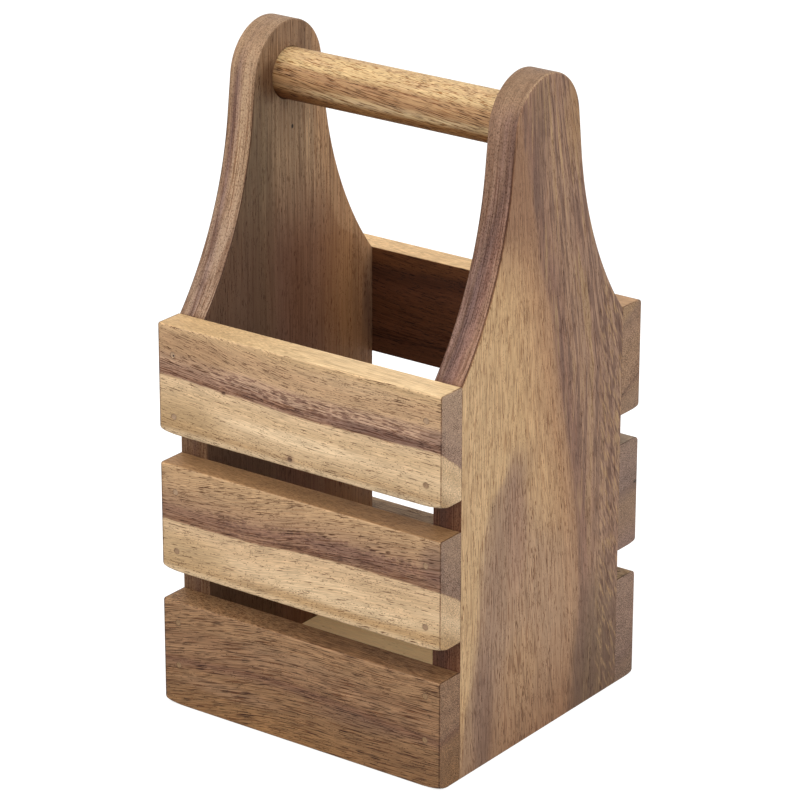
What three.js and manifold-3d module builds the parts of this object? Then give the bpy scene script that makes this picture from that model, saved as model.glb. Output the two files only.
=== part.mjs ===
// Cutlery holder: a slatted wooden caddy. Two bell-shaped end panels stand at its ends, a
// round handle joins their crowns, three slats are nailed across the front and three across
// the back, and a bottom board sits in grooves in the panels.
//
// Millimetres, +Z up. X runs along the handle and the slats, and Y from the front to the
// back. The origin is the middle of the footprint, on the surface that the holder stands on.

import * as THREE from 'three';
import { mergeVertices } from 'three/addons/utils/BufferGeometryUtils.js';
import Module from 'manifold-3d';

// Boards
const SLAT_LENGTH = 125;
const SLAT_HEIGHT = 42;
const SLAT_THICKNESS = 12;
const SLAT_GAP = 11.75;
const PANEL_WIDTH = 100;
const PANEL_THICKNESS = 12;

// Outline of an end panel above its shoulders
const HANDLE_HEIGHT = 229.5;
const CROWN_RADIUS = 19.6;
const NECK_TAPER = THREE.MathUtils.degToRad(7);
const NECK_STRAIGHT = 15;

// Rounded arrises
const PANEL_OUTER_ARRIS = 0.8;
const PANEL_INNER_ARRIS = 0.6;
const SLAT_LOWER_ARRIS = 1;
const SLAT_UPPER_ARRIS = 0.9;
const SLAT_INNER_ARRIS = 0.5;
const HANDLE_END_CHAMFER = 0.8;

// Handle and its blind sockets
const HANDLE_DIAMETER = 19;
const SOCKET_DEPTH = 7;

// Bottom board and its grooves
const BASE_THICKNESS = 6;
const BASE_RISE = 4;
const GROOVE_DEPTH = 5;

// How far a panel's blank runs on below the holder, before its foot is sawn off square
const FOOT_WASTE = 5;

// Brads, sunk below the slat's face and covered with filler
const BRAD_LENGTH = 30;
const BRAD_SHANK = 1.2;
const BRAD_HEAD = 1.8;
const BRAD_HEAD_HEIGHT = 1;
const BRAD_POINT = 2;
const BRAD_SUNK = 1.2;
const FILLER_DIAMETER = 2.2;
const FILLER_EASE = 0.15;
const BRAD_FROM_END = 6.6;
const BRAD_ABOVE_BASE = 7.5;

// Clearances
const GLUE_LINE = 0.1;
const BRAD_CLEARANCE = 0.1;
const CUT_OVERRUN = 1;

// Facets
const OUTLINE_SEGMENTS = 12;
const ARRIS_SEGMENTS = 3;
const HANDLE_SIDES = 48;
const BRAD_SIDES = 8;
const WELD = 1e-4;

// Places that follow from the sizes above
const HALF_LENGTH = SLAT_LENGTH / 2;
const HALF_WIDTH = PANEL_WIDTH / 2;
const PANEL_INNER_X = HALF_LENGTH - PANEL_THICKNESS;
const SLAT_OUTER_Y = HALF_WIDTH + SLAT_THICKNESS;
const SLAT_PITCH = SLAT_HEIGHT + SLAT_GAP;
const BASE_TOP = BASE_RISE + BASE_THICKNESS;

// Rows of slats, from the bottom. Each has a pair of brads at either end, this far from the
// slat's long edges. They were set by hand, so each row of them climbs or falls a little from
// the left end to the right one. The lowest brads clear the base's groove.
const ROWS = [
  { name: 'bottom', bradBelowTop: 7.5, bradAboveEdge: BASE_TOP + BRAD_ABOVE_BASE, bradClimb: 2 },
  { name: 'middle', bradBelowTop: 10.4, bradAboveEdge: 8.4, bradClimb: 0 },
  { name: 'top', bradBelowTop: 10.7, bradAboveEdge: 7.6, bradClimb: 1 },
];
const RIM_HEIGHT = (ROWS.length - 1) * SLAT_PITCH + SLAT_HEIGHT;

// The front's outward direction is -Y and the rear's is +Y; the left end is at -X.
const SIDES = [{ name: 'front', sign: -1, turn: 0 }, { name: 'rear', sign: 1, turn: Math.PI }];
const ENDS = [{ name: 'left', sign: -1 }, { name: 'right', sign: 1 }];

const wasm = await Module();
wasm.setup();

function toSolid(geometry) {
  const bare = geometry.clone();
  bare.deleteAttribute('normal');
  bare.deleteAttribute('uv');
  const welded = mergeVertices(bare, WELD);
  return new wasm.Manifold(new wasm.Mesh({
    numProp: 3,
    vertProperties: Float32Array.from(welded.attributes.position.array),
    triVerts: Uint32Array.from(welded.index.array),
  }));
}

function toGeometry(solid) {
  const mesh = solid.getMesh();
  const geometry = new THREE.BufferGeometry();
  geometry.setAttribute('position', new THREE.BufferAttribute(mesh.vertProperties, 3));
  geometry.setIndex(new THREE.BufferAttribute(mesh.triVerts, 1));
  return geometry;
}

// A shape drawn with Y to the right and Z up, made solid from one X to another. Its arrises
// at both ends are rounded by the given radius.
function board(outline, fromX, toX, arris) {
  const geometry = new THREE.ExtrudeGeometry(outline, {
    depth: toX - fromX - 2 * arris,
    curveSegments: OUTLINE_SEGMENTS,
    bevelEnabled: arris > 0,
    bevelThickness: arris,
    bevelSize: arris,
    bevelOffset: -arris,
    bevelSegments: ARRIS_SEGMENTS,
  });
  geometry.translate(0, 0, fromX + arris);
  const along = new THREE.Matrix4().makeBasis(
    new THREE.Vector3(0, 1, 0),
    new THREE.Vector3(0, 0, 1),
    new THREE.Vector3(1, 0, 0),
  );
  return geometry.applyMatrix4(along);
}

function span(a, b) {
  return [Math.min(a, b), Math.max(a, b)];
}

function box(fromX, toX, fromY, toY, fromZ, toZ) {
  const geometry = new THREE.BoxGeometry(toX - fromX, toY - fromY, toZ - fromZ);
  return geometry.translate((fromX + toX) / 2, (fromY + toY) / 2, (fromZ + toZ) / 2);
}

// A turned form about an axis along +Y: each profile point is a radius and a place on the axis.
function turned(profile, sides) {
  const points = profile.map(([radius, along]) => new THREE.Vector2(radius, along));
  return new THREE.LatheGeometry(points, sides);
}

function bar(radius, fromY, toY, chamfer, sides) {
  return turned([
    [0, fromY],
    [radius - chamfer, fromY],
    [radius, fromY + chamfer],
    [radius, toY - chamfer],
    [radius - chamfer, toY],
    [0, toY],
  ], sides);
}

// The bell outline: a round crown about the handle, a straight tapering neck, then an arc
// that leaves the neck smoothly and ends at the shoulder, level with the top of the slats.
// It runs on below the ground, so the panel's foot can be sawn off square.
function panelOutline() {
  const down = new THREE.Vector2(Math.sin(NECK_TAPER), -Math.cos(NECK_TAPER));
  const outward = new THREE.Vector2(Math.cos(NECK_TAPER), Math.sin(NECK_TAPER));
  const crown = new THREE.Vector2(0, HANDLE_HEIGHT);
  const neckTop = crown.clone().addScaledVector(outward, CROWN_RADIUS);
  const neckFoot = neckTop.clone().addScaledVector(down, NECK_STRAIGHT);
  const shoulder = new THREE.Vector2(HALF_WIDTH, RIM_HEIGHT);

  const reach = shoulder.clone().sub(neckFoot);
  const flareRadius = reach.lengthSq() / (2 * reach.dot(outward));
  const flare = neckFoot.clone().addScaledVector(outward, flareRadius);
  const shoulderAngle = shoulder.clone().sub(flare).angle();

  const outline = new THREE.Shape();
  outline.moveTo(HALF_WIDTH, -FOOT_WASTE);
  outline.lineTo(shoulder.x, shoulder.y);
  outline.absarc(flare.x, flare.y, flareRadius, shoulderAngle, Math.PI + NECK_TAPER, true);
  outline.absarc(crown.x, crown.y, CROWN_RADIUS, NECK_TAPER, Math.PI - NECK_TAPER, false);
  outline.absarc(-flare.x, flare.y, flareRadius, -NECK_TAPER, Math.PI - shoulderAngle, true);
  outline.lineTo(-HALF_WIDTH, -FOOT_WASTE);
  outline.closePath();
  return outline;
}

// A slat's cross-section: the outer long edges are rounded, the lower one most. It is drawn
// for the rear, and turned over for the front.
function slatOutline(side, low) {
  const high = low + SLAT_HEIGHT;
  const corners = [
    { y: HALF_WIDTH, z: low, radius: SLAT_INNER_ARRIS, inY: 1, inZ: 1 },
    { y: SLAT_OUTER_Y, z: low, radius: SLAT_LOWER_ARRIS, inY: -1, inZ: 1 },
    { y: SLAT_OUTER_Y, z: high, radius: SLAT_UPPER_ARRIS, inY: -1, inZ: -1 },
    { y: HALF_WIDTH, z: high, radius: SLAT_INNER_ARRIS, inY: 1, inZ: -1 },
  ];
  const outline = new THREE.Shape();
  corners.forEach(({ y, z, radius, inY, inZ }, index) => {
    const start = Math.PI + index * (Math.PI / 2);
    outline.absarc(y + inY * radius, z + inZ * radius, radius, start, start + Math.PI / 2, false);
  });
  const points = outline.getPoints(ARRIS_SEGMENTS);
  return new THREE.Shape(points.map((point) => new THREE.Vector2(side.sign * point.x, point.y)));
}

// Every brad of a slat row on one side, with the end that it sits at
function bradsOfRow(row, rowIndex) {
  const low = rowIndex * SLAT_PITCH;
  return ENDS.flatMap((end) => {
    const climb = end.sign * row.bradClimb / 2;
    return [
      { end, level: 'upper', height: low + SLAT_HEIGHT - row.bradBelowTop + climb },
      { end, level: 'lower', height: low + row.bradAboveEdge + climb },
    ];
  });
}

// Where a brad goes in: on the slat's face, with its own +Y pointing into the holder
function bradPlace(side, brad) {
  const place = new THREE.Object3D();
  const x = brad.end.sign * (HALF_LENGTH - BRAD_FROM_END);
  place.position.set(x, side.sign * SLAT_OUTER_Y, brad.height);
  place.rotation.z = side.turn;
  place.updateMatrix();
  return place.matrix;
}

// The handle's own +Y becomes the holder's +X.
function handlePlace() {
  const place = new THREE.Object3D();
  place.position.z = HANDLE_HEIGHT;
  place.rotation.z = -Math.PI / 2;
  place.updateMatrix();
  return place.matrix;
}

// A brad from its head down to its point, along +Y from the slat's face
function bradForm() {
  const head = BRAD_HEAD / 2;
  const shank = BRAD_SHANK / 2;
  const top = BRAD_SUNK;
  const neck = top + BRAD_HEAD_HEIGHT;
  const tip = top + BRAD_LENGTH;
  return turned([
    [0, top],
    [head, top],
    [head, neck],
    [shank, neck],
    [shank, tip - BRAD_POINT],
    [0, tip],
  ], BRAD_SIDES);
}

// The hole that a brad and its filler take up, in the slat and in the panel's edge behind it
function bradHoleForm() {
  const mouth = FILLER_DIAMETER / 2 + BRAD_CLEARANCE;
  const shank = BRAD_SHANK / 2 + BRAD_CLEARANCE;
  const neck = BRAD_SUNK + BRAD_HEAD_HEIGHT + BRAD_CLEARANCE;
  const bottom = BRAD_SUNK + BRAD_LENGTH + BRAD_CLEARANCE;
  return turned([
    [0, -CUT_OVERRUN],
    [mouth, -CUT_OVERRUN],
    [mouth, neck],
    [shank, neck],
    [shank, bottom],
    [0, bottom],
  ], BRAD_SIDES);
}

function fillerForm() {
  return bar(FILLER_DIAMETER / 2, 0, BRAD_SUNK - BRAD_CLEARANCE, FILLER_EASE, BRAD_SIDES);
}

function bradHoles(side, row, rowIndex) {
  return bradsOfRow(row, rowIndex)
    .map((brad) => toSolid(bradHoleForm().applyMatrix4(bradPlace(side, brad))));
}

function cutAll(solid, cutters) {
  return cutters.reduce((rest, cutter) => rest.subtract(cutter), solid);
}

function socket(end) {
  const mouth = PANEL_INNER_X - CUT_OVERRUN;
  const bottom = PANEL_INNER_X + SOCKET_DEPTH + GLUE_LINE;
  const [fromY, toY] = span(end.sign * mouth, end.sign * bottom);
  const radius = HANDLE_DIAMETER / 2 + GLUE_LINE;
  const form = turned([[0, fromY], [radius, fromY], [radius, toY], [0, toY]], HANDLE_SIDES);
  return toSolid(form.applyMatrix4(handlePlace()));
}

function baseGroove(end) {
  const mouth = PANEL_INNER_X - CUT_OVERRUN;
  const [fromX, toX] = span(end.sign * mouth, end.sign * (PANEL_INNER_X + GROOVE_DEPTH));
  const edge = HALF_WIDTH + CUT_OVERRUN;
  return toSolid(box(fromX, toX, -edge, edge, BASE_RISE, BASE_TOP + GLUE_LINE));
}

function footWaste(fromX, toX) {
  return toSolid(box(fromX, toX, -PANEL_WIDTH, PANEL_WIDTH, -2 * FOOT_WASTE, 0));
}

// The outer arris of a panel is rounded more than the inner one, so the panel is what two
// boards share: one with the outer rounding and one with the inner, each longer than the
// panel at the end where the other one is rounded. The foot keeps its sawn edges.
function endPanel(end) {
  const inner = end.sign * PANEL_INNER_X;
  const outer = end.sign * HALF_LENGTH;
  const beyond = end.sign * PANEL_THICKNESS;
  const outerRounded = board(panelOutline(), ...span(inner - beyond, outer), PANEL_OUTER_ARRIS);
  const innerRounded = board(panelOutline(), ...span(inner, outer + beyond), PANEL_INNER_ARRIS);
  const blank = toSolid(outerRounded).intersect(toSolid(innerRounded));
  const waste = footWaste(...span(inner - beyond, outer + beyond));
  const holes = SIDES.flatMap((side) => ROWS.flatMap((row, index) => bradHoles(side, row, index)));
  return toGeometry(cutAll(blank, [waste, socket(end), baseGroove(end), ...holes]));
}

function slat(side, row, rowIndex) {
  const outline = slatOutline(side, rowIndex * SLAT_PITCH);
  const blank = toSolid(board(outline, -HALF_LENGTH, HALF_LENGTH, 0));
  return toGeometry(cutAll(blank, bradHoles(side, row, rowIndex)));
}

function handle() {
  const end = PANEL_INNER_X + SOCKET_DEPTH;
  return bar(HANDLE_DIAMETER / 2, -end, end, HANDLE_END_CHAMFER, HANDLE_SIDES);
}

function base() {
  const endX = PANEL_INNER_X + GROOVE_DEPTH - GLUE_LINE;
  const edgeY = HALF_WIDTH - GLUE_LINE;
  return box(-endX, endX, -edgeY, edgeY, BASE_RISE, BASE_TOP);
}

const holder = new THREE.Group();

function add(name, geometry, finish, place = new THREE.Matrix4()) {
  const material = new THREE.MeshStandardMaterial({ ...finish, flatShading: true });
  const mesh = new THREE.Mesh(geometry, material);
  mesh.name = name;
  mesh.applyMatrix4(place);
  holder.add(mesh);
}

const PANEL_FINISH = { color: 0xa5825e, roughness: 0.55 };
const HANDLE_FINISH = { color: 0xc0935f, roughness: 0.5 };
const BASE_FINISH = { color: 0xcba878, roughness: 0.65 };
const SLAT_FINISHES = {
  bottom: { color: 0x96714f, roughness: 0.55 },
  middle: { color: 0xbd9768, roughness: 0.55 },
  top: { color: 0xc9a574, roughness: 0.55 },
};
const BRAD_FINISH = { color: 0x9c9ea1, roughness: 0.35, metalness: 1 };
const FILLER_FINISH = { color: 0xb08a60, roughness: 0.7 };

ENDS.forEach((end) => add(`${end.name}_end_panel`, endPanel(end), PANEL_FINISH));
add('handle_dowel', handle(), HANDLE_FINISH, handlePlace());
add('base_board', base(), BASE_FINISH);
SIDES.forEach((side) => ROWS.forEach((row, rowIndex) => {
  add(`${side.name}_slat_${row.name}`, slat(side, row, rowIndex), SLAT_FINISHES[row.name]);
  bradsOfRow(row, rowIndex).forEach((brad) => {
    const where = `${side.name}_${row.name}_${brad.end.name}_${brad.level}`;
    add(`brad_${where}`, bradForm(), BRAD_FINISH, bradPlace(side, brad));
    add(`filler_${where}`, fillerForm(), FILLER_FINISH, bradPlace(side, brad));
  });
}));

export default holder;
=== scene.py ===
"""The look of a slatted wooden cutlery holder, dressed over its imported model.

Metres, +Z up. X runs along the handle and the slats, and Y from the front to the back.
"""

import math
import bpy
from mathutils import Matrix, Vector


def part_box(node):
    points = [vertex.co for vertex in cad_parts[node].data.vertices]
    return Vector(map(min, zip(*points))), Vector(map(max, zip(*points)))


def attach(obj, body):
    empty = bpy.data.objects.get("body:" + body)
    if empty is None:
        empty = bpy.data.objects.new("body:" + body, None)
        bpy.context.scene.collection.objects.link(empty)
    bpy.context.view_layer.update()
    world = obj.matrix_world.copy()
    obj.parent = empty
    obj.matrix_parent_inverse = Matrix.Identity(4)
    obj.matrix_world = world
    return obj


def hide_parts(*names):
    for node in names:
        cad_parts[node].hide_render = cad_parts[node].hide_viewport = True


bl_info = {
    "name": "Cutlery Holder",
    "version": (1, 0, 0),
    "blender": (4, 5, 0),
    "location": "3D View > Sidebar > Holder",
    "description": "Builds the boards, handle, nail fillers and studio of a wooden cutlery holder",
    "category": "Object",
}

import bmesh
import bpy
from bpy.props import FloatProperty, FloatVectorProperty, IntProperty, PointerProperty
from mathutils import Matrix, Vector

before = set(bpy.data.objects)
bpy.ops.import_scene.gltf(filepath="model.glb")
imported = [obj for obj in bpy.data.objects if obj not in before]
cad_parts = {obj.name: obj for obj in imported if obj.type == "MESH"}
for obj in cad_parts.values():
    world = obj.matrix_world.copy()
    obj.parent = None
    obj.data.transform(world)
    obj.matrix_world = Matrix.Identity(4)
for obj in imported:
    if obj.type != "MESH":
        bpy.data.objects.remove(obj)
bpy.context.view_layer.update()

MM = 0.001
TINY = 1e-6
BODY = "root"

SIDES = ("front", "rear")
ROWS = ("bottom", "middle", "top")
ENDS = ("left", "right")
LEVELS = ("upper", "lower")

GLUE_LINE = 0.1 * MM
CUT_OVERRUN = 1 * MM
BRAD_BORE_RADIUS = 0.7 * MM
BRAD_HEAD_DEPTH = 1.1 * MM
NAIL_SIDES = 24
SOCKET_SIDES = 96
CROWN_STEPS = 26
FLARE_STEPS = 30
SHARP_ANGLE = math.radians(40)

PANEL_LOW, PANEL_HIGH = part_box("right_end_panel")
HANDLE_LOW, HANDLE_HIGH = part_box("handle_dowel")
BASE_LOW, BASE_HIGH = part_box("base_board")
RIM_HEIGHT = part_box("rear_slat_top")[1].z


def tone(hex_code):
    """Linear colour of a tone written as on a paint card."""
    shares = [int(hex_code[i : i + 2], 16) / 255 for i in (1, 3, 5)]
    return tuple(c / 12.92 if c <= 0.04045 else ((c + 0.055) / 1.055) ** 2.4 for c in shares)


def paint(color):
    """Colour and alpha of a tone of the paint card, or of a setting's three numbers."""
    return (*(tone(color) if isinstance(color, str) else color), 1.0)


def length(name, description, default):
    return FloatProperty(name=name, description=description, default=default, min=0.0, unit="LENGTH",
                         subtype="DISTANCE", precision=5)


def power(name, description, default):
    return FloatProperty(name=name, description=description, default=default, min=0.0, unit="POWER")


def swatch(name, description, hex_code):
    return FloatVectorProperty(name=name, description=description, default=tone(hex_code), min=0.0,
                               max=1.0, size=3, subtype="COLOR")


class PanelShape(bpy.types.PropertyGroup):
    crown_radius: length("Crown radius", "Radius of the round top about the handle", 0.0196)
    neck_straight: length("Neck", "Straight length below the crown", 0.015)
    shoulder_height: length("Shoulder", "Height at which the flare ends", RIM_HEIGHT)
    outer_arris: length("Outer arris", "Rounding of the outer edge", 0.0009)
    inner_arris: length("Inner arris", "Rounding of the inner edge", 0.0006)
    foot_arris: length("Foot arris", "Easing of the sawn foot", 0.00025)
    socket_clearance: length("Socket clearance", "Room about the handle in its socket", 0.0001)
    socket_mouth: length("Socket mouth", "Eased lip of the socket", 0.00025)
    neck_taper: FloatProperty(
        name="Neck taper", description="Lean of the neck from upright", default=math.radians(7),
        unit="ROTATION", subtype="ANGLE")


class SlatShape(bpy.types.PropertyGroup):
    lower_arris: length("Lower arris", "Rounding of the outer lower edge", 0.001)
    upper_arris: length("Upper arris", "Rounding of the outer upper edge at the front", 0.0009)
    rear_upper_arris: length("Rear upper arris", "Rounding of the outer upper edge at the rear", 0.0018)
    inner_arris: length("Inner arris", "Rounding of the two inner edges", 0.0005)
    end_arris: length("End arris", "Easing of the sawn ends", 0.00025)
    dub_height: length("Dubbed corner", "Height worn off the lower corners at the front", 0.0019)
    rear_dub_height: length("Rear dub", "Height worn off the lower corners at the rear", 0.0007)
    dub_length: length("Dub length", "How far the wear runs along the slat", 0.009)
    dub_depth: length("Dub depth", "How far the wear runs in from the face", 0.005)


class HandleShape(bpy.types.PropertyGroup):
    end_chamfer: length("End chamfer", "Chamfer at the ends, inside the sockets", 0.0008)
    sides: IntProperty(name="Sides", description="Facets round the handle", default=96, min=24, max=256)


class BaseShape(bpy.types.PropertyGroup):
    arris: length("Arris", "Easing of all the bottom board's edges", 0.0002)
    # Its tones are raised above the wood's own, as painted light for the board seen between the slats.
    first_tone: swatch("First tone", "One tone of the bottom board's layers", "#f8d29a")
    pale_tone: swatch("Pale tone", "Palest tone of the bottom board's layers", "#fbd8a2")
    dark_tone: swatch("Dark tone", "Darkest tone of the bottom board's layers", "#f0c68e")


class FillerShape(bpy.types.PropertyGroup):
    dish: length("Dish", "How far the filler has shrunk below the face", 0.00012)
    rim: length("Rim", "Width of the ring that still stands level", 0.00025)
    dark_tone: swatch("Dark tone", "Darkest colour of the filler", "#9a7b5d")
    pale_tone: swatch("Pale tone", "Palest colour of the filler", "#ae8f72")


class BradSteel(bpy.types.PropertyGroup):
    dark_tone: swatch("Dark tone", "Colour of the wire in its draw lines", "#8c8e90")
    pale_tone: swatch("Pale tone", "Colour of the wire between them", "#aeb0b2")
    tarnish_tone: swatch("Tarnish", "Colour of the tarnish", "#6c5a4a")


class StudioLight(bpy.types.PropertyGroup):
    sky_strength: FloatProperty(name="Sky", description="Strength of the even light", default=0.7,
                                min=0.0)
    top_power: power("Top lamp", "Power of the overhead softbox", 9)
    front_power: power("Front lamp", "Power of the softbox at the front", 12)
    side_power: power("Side lamp", "Power of the softbox at the right", 9)
    floor_color: swatch("Floor", "Colour of the floor", "#a0a0a0")


def spun(profile, steps, place):
    """A closed form turned about +Z from (radius, height) pairs, then put in place."""
    form = bmesh.new()
    points = [form.verts.new((radius, 0, height)) for radius, height in profile]
    edges = [form.edges.new(pair) for pair in zip(points, points[1:])]
    bmesh.ops.spin(form, geom=points + edges, cent=(0, 0, 0), axis=(0, 0, 1), angle=math.tau,
                   steps=steps, use_merge=True, use_duplicate=False)
    bmesh.ops.remove_doubles(form, verts=form.verts, dist=TINY)
    bmesh.ops.recalc_face_normals(form, faces=form.faces)
    bmesh.ops.transform(form, matrix=place, verts=form.verts)
    return form


def round_over(form, edges, radius, segments):
    bmesh.ops.bevel(form, geom=edges, offset=radius, offset_type="OFFSET", segments=segments,
                    profile=0.5, affect="EDGES", clamp_overlap=True, material=-1)


def edges_at(form, axis, value):
    """Edges that lie wholly where a coordinate has this value."""
    return [e for e in form.edges if all(abs(v.co[axis] - value) < TINY for v in e.verts)]


def block(low, high):
    form = bmesh.new()
    place = Matrix.Translation((low + high) / 2) @ Matrix.Diagonal((*(high - low), 1))
    bmesh.ops.create_cube(form, size=1, matrix=place)
    return form


def as_object(name, form):
    mesh = bpy.data.meshes.new(name)
    form.to_mesh(mesh)
    form.free()
    made = bpy.data.objects.new(name, mesh)
    bpy.context.scene.collection.objects.link(made)
    return made


def cut(piece, forms):
    """Takes the forms out of a piece."""
    for form in forms:
        cutter = as_object("cutter", form)
        knife = piece.modifiers.new("Cut", "BOOLEAN")
        knife.operation = "DIFFERENCE"
        knife.solver = "EXACT"
        knife.object = cutter
        graph = bpy.context.evaluated_depsgraph_get()
        whole = piece.data
        piece.data = bpy.data.meshes.new_from_object(piece.evaluated_get(graph))
        piece.modifiers.remove(knife)
        bpy.data.meshes.remove(whole)
        bpy.data.meshes.remove(cutter.data)


def finish_piece(piece, material, node):
    """Smooths the faces, gives the wood and lets the piece stand for its CAD node."""
    piece.data.materials.clear()
    piece.data.materials.append(material)
    piece.data.shade_smooth()
    piece.data.set_sharp_from_angle(angle=SHARP_ANGLE)
    weigh = piece.modifiers.new("Weighted Normals", "WEIGHTED_NORMAL")
    weigh.keep_sharp = True
    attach(piece, BODY)
    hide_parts(node)


def nail_seat(place):
    """A filler's radius and depth, and the middle of its outer end, turned to point outwards."""
    low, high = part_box(f"filler_{place}")
    outward = 1 if high.y > 0 else -1
    centre = (low + high) / 2
    centre.y = high.y if outward > 0 else low.y
    turned = Matrix.Rotation(-outward * math.pi / 2, 4, "X")
    return (high.x - low.x) / 2, high.y - low.y, Matrix.Translation(centre) @ turned


def nail_hole(place):
    """The stepped hole of one brad and its filler, from outside the slat's face inwards."""
    filler_radius, _, seat = nail_seat(place)
    head, tip = sorted(abs(seat.translation.y - corner.y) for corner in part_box(f"brad_{place}"))
    mouth = filler_radius + GLUE_LINE
    step = -head - BRAD_HEAD_DEPTH
    bottom = -tip - GLUE_LINE
    profile = [(0, CUT_OVERRUN), (mouth, CUT_OVERRUN), (mouth, step), (BRAD_BORE_RADIUS, step),
               (BRAD_BORE_RADIUS, bottom), (0, bottom)]
    return spun(profile, NAIL_SIDES, seat)


def nail_places(side=None, row=None, end=None):
    return [f"{s}_{r}_{e}_{level}"
            for s in SIDES if side in (None, s)
            for r in ROWS if row in (None, r)
            for e in ENDS if end in (None, e)
            for level in LEVELS]


class Wiring:
    """The nodes of one material or world, wired by short calls."""

    def __init__(self, owner):
        owner.use_nodes = True
        self.owner = owner
        self.tree = owner.node_tree
        self.tree.nodes.clear()

    def node(self, kind, settings=None, **inputs):
        made = self.tree.nodes.new(kind)
        for key, value in (settings or {}).items():
            setattr(made, key, value)
        for key, value in inputs.items():
            self.feed(made.inputs[key.replace("_", " ")], value)
        return made

    def feed(self, socket, value):
        if isinstance(value, bpy.types.NodeSocket):
            self.tree.links.new(value, socket)
        else:
            socket.default_value = value

    def fed(self, kind, *values, **settings):
        """The first output of a node whose first inputs take these values."""
        made = self.node(kind, settings)
        for socket, value in zip(made.inputs, values):
            self.feed(socket, value)
        return made.outputs[0]

    def math(self, operation, *values):
        return self.fed("ShaderNodeMath", *values, operation=operation)

    def fit(self, value, slope, start):
        """The value times the slope, added to the start."""
        return self.math("MULTIPLY_ADD", value, slope, start)

    def add(self, a, b):
        return self.math("ADD", a, b)

    def sub(self, a, b):
        return self.math("SUBTRACT", a, b)

    def times(self, a, b):
        return self.math("MULTIPLY", a, b)

    def most(self, a, b):
        return self.math("MAXIMUM", a, b)

    def absolute(self, value):
        return self.math("ABSOLUTE", value)

    def span(self, value, low, high, to_low=0.0, to_high=1.0):
        """Value between low and high, spread smoothly between two others and held beyond them."""
        made = self.node("ShaderNodeMapRange", {"interpolation_type": "SMOOTHSTEP"}, Value=value,
                         From_Min=low, From_Max=high, To_Min=to_low, To_Max=to_high)
        return made.outputs[0]

    def vector(self, x, y, z):
        return self.fed("ShaderNodeCombineXYZ", x, y, z)

    def mix(self, share, a, b, blend="MIX"):
        made = self.node("ShaderNodeMix", {"data_type": "RGBA", "blend_type": blend})
        for index, value in ((0, share), (6, a), (7, b)):
            self.feed(made.inputs[index], value)
        return made.outputs[2]

    def over(self, color, share, tint, strength=1.0):
        """Another tone laid over a colour, by as much as the share says."""
        return self.mix(self.times(share, strength), color, paint(tint))

    def tinted(self, color, share, tint, strength=1.0):
        """A colour darkened by a tint, by as much as the share says."""
        return self.mix(self.times(share, strength), color, paint(tint), blend="MULTIPLY")

    def scaled(self, color, amount):
        made = self.node("ShaderNodeVectorMath", {"operation": "SCALE"}, Vector=color, Scale=amount)
        return made.outputs[0]

    def noise(self, vector, detail=2.0, roughness=0.5):
        made = self.node("ShaderNodeTexNoise", Vector=vector, Scale=1.0, Detail=detail,
                         Roughness=roughness)
        return made.outputs[0]

    def ramp(self, share, stops):
        made = self.node("ShaderNodeValToRGB", Fac=share)
        elements = made.color_ramp.elements
        while len(elements) < len(stops):
            elements.new(0.5)
        for element, (position, color) in zip(elements, sorted(stops)):
            element.position = position
        for element, (position, color) in zip(elements, sorted(stops)):
            element.color = paint(color)
        return made.outputs[0]

    def curve(self, share, points):
        """A smooth line through points whose two values lie between 0 and 1."""
        made = self.node("ShaderNodeFloatCurve", Value=share)
        line = made.mapping.curves[0]
        while len(line.points) < len(points):
            line.points.new(0.5, 0.5)
        for point, place in zip(line.points, sorted(points)):
            point.location = place
        made.mapping.update()
        return made.outputs[0]

    def by_height(self, draw, height, reach, stops):
        """Draws a ramp or curve whose stops stand at heights below and above a line."""
        share = self.fit(height, 1 / reach, 0.5)
        return draw(share, [(0.5 + h / reach, given) for h, given in stops])

    def finished(self, shade, kind="ShaderNodeOutputMaterial"):
        """Wires the last shader to the output, and gives the finished material or world."""
        self.feed(self.node(kind).inputs[0], shade)
        return self.owner

    def close(self, color, roughness, height, distance, strength, metallic=0.0, specular=0.4):
        """The finished material, with a bump of this height map, depth and strength."""
        shader = self.node("ShaderNodeBsdfPrincipled", Base_Color=color, Roughness=roughness,
                           Metallic=metallic, Specular_IOR_Level=specular)
        bump = self.node("ShaderNodeBump", Height=height, Distance=distance, Strength=strength)
        self.feed(shader.inputs["Normal"], bump.outputs[0])
        return self.finished(shader.outputs[0])


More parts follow.
